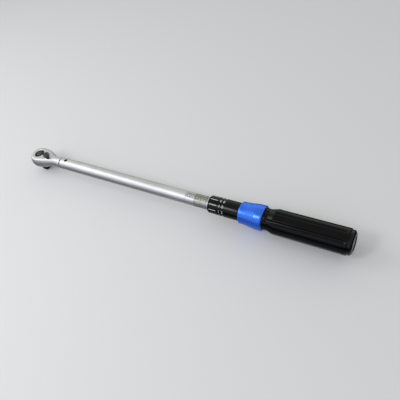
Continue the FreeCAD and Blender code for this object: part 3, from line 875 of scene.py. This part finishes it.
def studio_world():
    """Pale walls, cool towards -Y and warm towards +Y, a dimmer ceiling and a dark band below."""
    world = bpy.data.worlds.new("studio")
    bpy.context.scene.world = world
    world.use_nodes = True
    tree = world.node_tree
    back = tree.nodes["Background"]
    place = tree.nodes.new("ShaderNodeTexCoord")
    split = tree.nodes.new("ShaderNodeSeparateXYZ")
    height = tree.nodes.new("ShaderNodeMapRange")
    height.inputs["From Min"].default_value = -1.0
    ramp = tree.nodes.new("ShaderNodeValToRGB")
    ramp.color_ramp.interpolation = "EASE"
    levels = (               # (height of the direction, glow)
        (-1.0, 0.45), (-0.75, 0.35), (-0.50, 0.06), (-0.12, 0.06),
        (0.06, 0.76), (0.55, 0.76), (0.90, 0.42))
    steps = ramp.color_ramp.elements
    while len(steps) < len(levels):
        steps.new(0.5)
    for step, (rise, glow) in zip(steps, levels):
        step.position = (rise + 1) / 2
        step.color = (glow, glow, glow, 1)
    side = tree.nodes.new("ShaderNodeMapRange")
    side.inputs["From Min"].default_value = -0.6
    side.inputs["From Max"].default_value = 0.6
    tint = tree.nodes.new("ShaderNodeMix")
    tint.data_type = "RGBA"
    tint.inputs[6].default_value = (0.91, 0.94, 1.05, 1)
    tint.inputs[7].default_value = (0.99, 1.00, 0.93, 1)
    tree.links.new(place.outputs["Generated"], split.inputs[0])
    tree.links.new(split.outputs["Y"], side.inputs["Value"])
    tree.links.new(side.outputs["Result"], tint.inputs[0])
    tree.links.new(tint.outputs[2], back.inputs["Color"])
    tree.links.new(split.outputs["Z"], height.inputs["Value"])
    tree.links.new(height.outputs["Result"], ramp.inputs["Fac"])
    tree.links.new(ramp.outputs["Color"], back.inputs["Strength"])


def area_light(name, place, size, power):
    """Round soft lamp aimed at the middle of the tool; power is in watts."""
    lamp = bpy.data.lights.new(name, "AREA")
    lamp.shape = "DISK"
    lamp.size = size
    lamp.energy = power
    item = bpy.data.objects.new(name, lamp)
    item.location = place
    aim = LIT_POINT - Vector(place)
    item.rotation_euler = aim.to_track_quat("-Z", "Y").to_euler()
    bpy.context.scene.collection.objects.link(item)


def camera():
    """Camera from its place, its line of sight and its right-hand direction."""
    data = bpy.data.cameras.new("camera")
    data.sensor_width = SENSOR_MM
    data.lens = FOCAL_PIXELS * SENSOR_MM / FRAME_PIXELS
    data.clip_start = 0.01
    item = bpy.data.objects.new("camera", data)
    look = CAMERA_LOOK.normalized()
    right = (CAMERA_RIGHT - look * CAMERA_RIGHT.dot(look)).normalized()
    up = right.cross(look)
    turn = Matrix((right, up, -look)).transposed().to_4x4()
    item.matrix_world = Matrix.Translation(CAMERA_AT) @ turn
    bpy.context.scene.collection.objects.link(item)
    bpy.context.scene.camera = item


# ---------------------------------------------------------------- assembly
def carried_over():
    """CAD nodes that keep their shape and get a finished material."""
    black_oxide = metal("black_oxide", (0.035, 0.035, 0.035), (0.085, 0.08, 0.075), 0.42, 700)
    pin = metal("pin_bronze_brown", (0.030, 0.026, 0.020), (0.060, 0.052, 0.042), 0.50, 800)
    button = metal("button_steel", (0.09, 0.09, 0.085), (0.15, 0.15, 0.14), 0.40, 900)
    lever = metal("lever_grey", (0.075, 0.08, 0.085), (0.115, 0.12, 0.125), 0.45, 800, bump=0.00004)
    bearing = metal("bearing_steel", (0.74, 0.74, 0.75), (0.80, 0.80, 0.80), 0.10, 300, bump=0.000002)
    plain = metal("turned_steel", (0.40, 0.40, 0.41), (0.50, 0.50, 0.51), 0.30, 1500, TURNED)
    spring = metal("oiled_spring_steel", (0.20, 0.20, 0.21), (0.30, 0.30, 0.32), 0.32, 900)
    bronze = metal("sintered_bronze", (0.45, 0.32, 0.17), (0.58, 0.42, 0.23), 0.42, 1200)
    rubber = plastic("seal_rubber", (0.018, 0.018, 0.018), (0.028, 0.028, 0.028), 0.6, 1400, 0.00003)
    knob = plastic("knob_black", (0.006, 0.006, 0.007), (0.010, 0.010, 0.011), 0.45, 900, 0.00001,
                   shine=0.25)
    nodes_of = {
        black_oxide: ["drive_gear", "nut_screws"],
        pin: ["pivot_pin"],
        button: ["release_button", "cover_plate"],
        lever: ["reversing_lever"],
        bearing: ["detent_ball", "thrust_ball", "lock_ball_1", "lock_ball_2", "lock_ball_3"],
        plain: ["detent_plunger", "pawl", "tilt_block", "spring_plunger", "spring_seat",
                "adjusting_screw", "end_plug", "plug_nut", "handle_sleeve"],
        spring: ["detent_spring", "retaining_ring"],
        bronze: ["adjuster_nut", "guide_bush"],
        rubber: ["neck_seal"],
        knob: ["lever_knob"],
    }
    springs(spring)
    cad_smooth_angle = 25.0
    for material, nodes in nodes_of.items():
        for node in nodes:
            paint(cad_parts[node], material)
            soften(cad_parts[node], cad_smooth_angle)


def printed_marks(etched, white):
    """The scales of the tube and the thimble, each riding on what it is printed on."""
    for piece, body, ink, slot in (
            (tube_scale(), "tube", etched, "tube_chrome"),
            (tube_numbers(), "tube", etched, "tube_chrome"),
            (thimble_marks(), "handle", white, "thimble_black")):
        paint(piece, ink)
        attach(piece, body)


def main():
    bpy.context.scene.view_settings.view_transform = "Standard"
    camera()
    floor_and_light()
    paint(head_casting(), cast_chrome())
    paint(tube_skin(), tube_metal())
    deep = (0.002, 0.002, 0.002)
    black = (0.004, 0.004, 0.004)
    paint(thimble_body(), plastic("thimble_black", deep, black, 0.22, 1500, 0.000006, shine=0.26))
    paint(lock_collar(), anodised_blue())
    paint(grip_body(), plastic("grip_black", deep, black, 0.12, 2200, 0.000005, shine=0.2))
    paint(cap_body(), plastic("cap_black", deep, black, 0.14, 1800, 0.000005, shine=0.32))
    etched = plastic("etched_ink", (0.012, 0.012, 0.012), (0.025, 0.025, 0.025), 0.55, 2500, 0.00001)
    white = plastic("white_ink", (0.70, 0.70, 0.68), (0.82, 0.82, 0.80), 0.45, 2500, 0.00001)
    printed_marks(etched, white)
    carried_over()


main()
